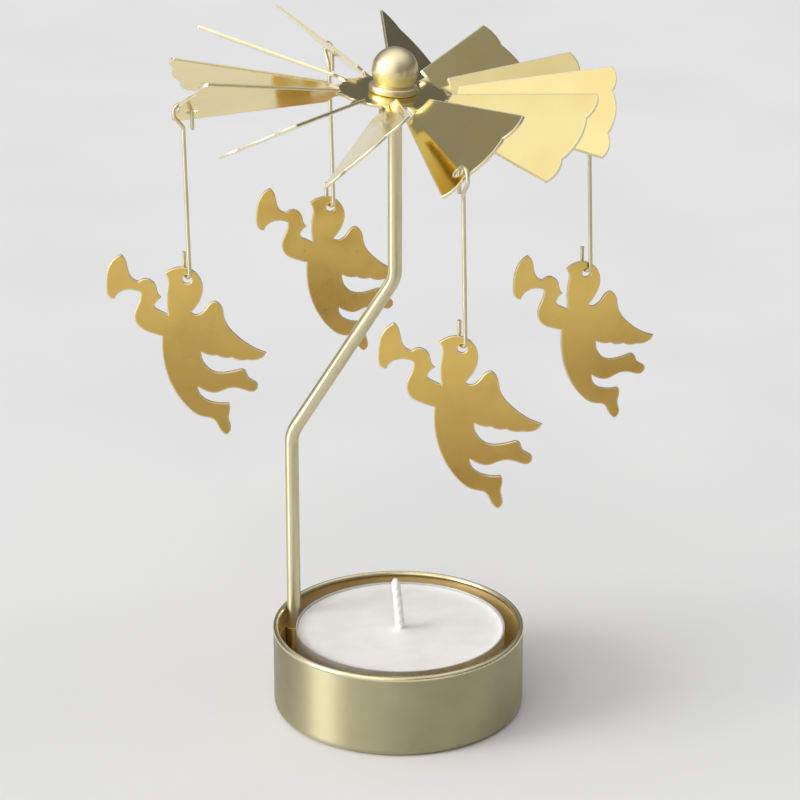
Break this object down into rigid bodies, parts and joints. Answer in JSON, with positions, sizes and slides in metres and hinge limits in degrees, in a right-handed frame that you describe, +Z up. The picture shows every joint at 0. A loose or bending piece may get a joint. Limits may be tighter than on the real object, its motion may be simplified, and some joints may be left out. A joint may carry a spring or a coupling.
{
  "type": "tea-light carousel",
  "caption": "Tea-light carousel: a twisted-blade fan wheel turns on the point of a bent rod set in a round cup, with stamped angel figures hung from its blades on wire hooks.",
  "frame": {"origin": "centre of the cup's flat underside", "axes": "+Z up, parallel to the axis the wheel spins on; the rod stands in the cup on the -X side"},
  "size_m": [0.0813, 0.0761, 0.1235],
  "materials": {
    "satin_brass": "satin lacquered brass plate",
    "polished_brass": "polished brass plate",
    "mirror_brass": "mirror-polished stamped sheet",
    "figure_brass": "satin gold sheet",
    "foil": "bright foil",
    "wax": "smooth white wax",
    "wick_cotton": "waxed cotton",
    "tab_steel": "tinned"
  },
  "bodies": {
    "stand": {"cup": "satin_brass", "rod": "polished_brass", "rod_clip": "satin_brass"},
    "wheel": {"fan_wheel": "mirror_brass", "hub_ball": "polished_brass", "hub_collar": "polished_brass"},
    "tealight": {"tealight_cup": "foil", "tealight_wax": "wax", "wick": "wick_cotton", "wick_tab": "tab_steel"},
    "hanger_1": {"hanger_wire_1": "polished_brass"},
    "angel_1": {"angel_1": "figure_brass"},
    "hanger_2": {"hanger_wire_2": "polished_brass"},
    "angel_2": {"angel_2": "figure_brass"},
    "hanger_3": {"hanger_wire_3": "polished_brass"},
    "angel_3": {"angel_3": "figure_brass"},
    "hanger_4": {"hanger_wire_4": "polished_brass"},
    "angel_4": {"angel_4": "figure_brass"}
  },
  "joints": [
    {"name": "wheel_spin", "type": "hinge", "parent": "stand", "child": "wheel", "pos_m": [-0.0006, 0, 0.1195], "axis": [0, 0, 1], "continuous": true},
    {"name": "tealight_lift", "type": "slide", "parent": "stand", "child": "tealight", "axis": [0, 0, 1], "range_m": [0, 0.025]},
    {"name": "hanger_swing_1", "type": "hinge", "parent": "wheel", "child": "hanger_1", "pos_m": [0.02755, 0.02215, 0.10829], "axis": [0.6902, -0.7237, 0], "range_deg": [-10, 15]},
    {"name": "angel_swing_1", "type": "hinge", "parent": "hanger_1", "child": "angel_1", "pos_m": [0.02755, 0.02215, 0.07949], "axis": [0.6293, -0.7771, 0], "range_deg": [-20, 20]},
    {"name": "hanger_swing_2", "type": "hinge", "parent": "wheel", "child": "hanger_2", "pos_m": [-0.02381, 0.02872, 0.11339], "axis": [0.7261, 0.6876, 0], "range_deg": [-10, 15]},
    {"name": "angel_swing_2", "type": "hinge", "parent": "hanger_2", "child": "angel_2", "pos_m": [-0.02381, 0.02872, 0.08389], "axis": [0.5299, -0.848, 0], "range_deg": [-20, 20]},
    {"name": "hanger_swing_3", "type": "hinge", "parent": "wheel", "child": "hanger_3", "pos_m": [-0.03006, -0.02279, 0.11556], "axis": [-0.6888, 0.7249, 0], "range_deg": [-10, 15]},
    {"name": "angel_swing_3", "type": "hinge", "parent": "hanger_3", "child": "angel_3", "pos_m": [-0.03006, -0.02279, 0.08616], "axis": [0.342, -0.9397, 0], "range_deg": [-20, 20]},
    {"name": "hanger_swing_4", "type": "hinge", "parent": "wheel", "child": "hanger_4", "pos_m": [0.02177, -0.02901, 0.11161], "axis": [-0.7261, -0.6876, 0], "range_deg": [-10, 15]},
    {"name": "angel_swing_4", "type": "hinge", "parent": "hanger_4", "child": "angel_4", "pos_m": [0.02177, -0.02901, 0.08241], "axis": [0.342, -0.9397, 0], "range_deg": [-20, 20]}
  ]
}
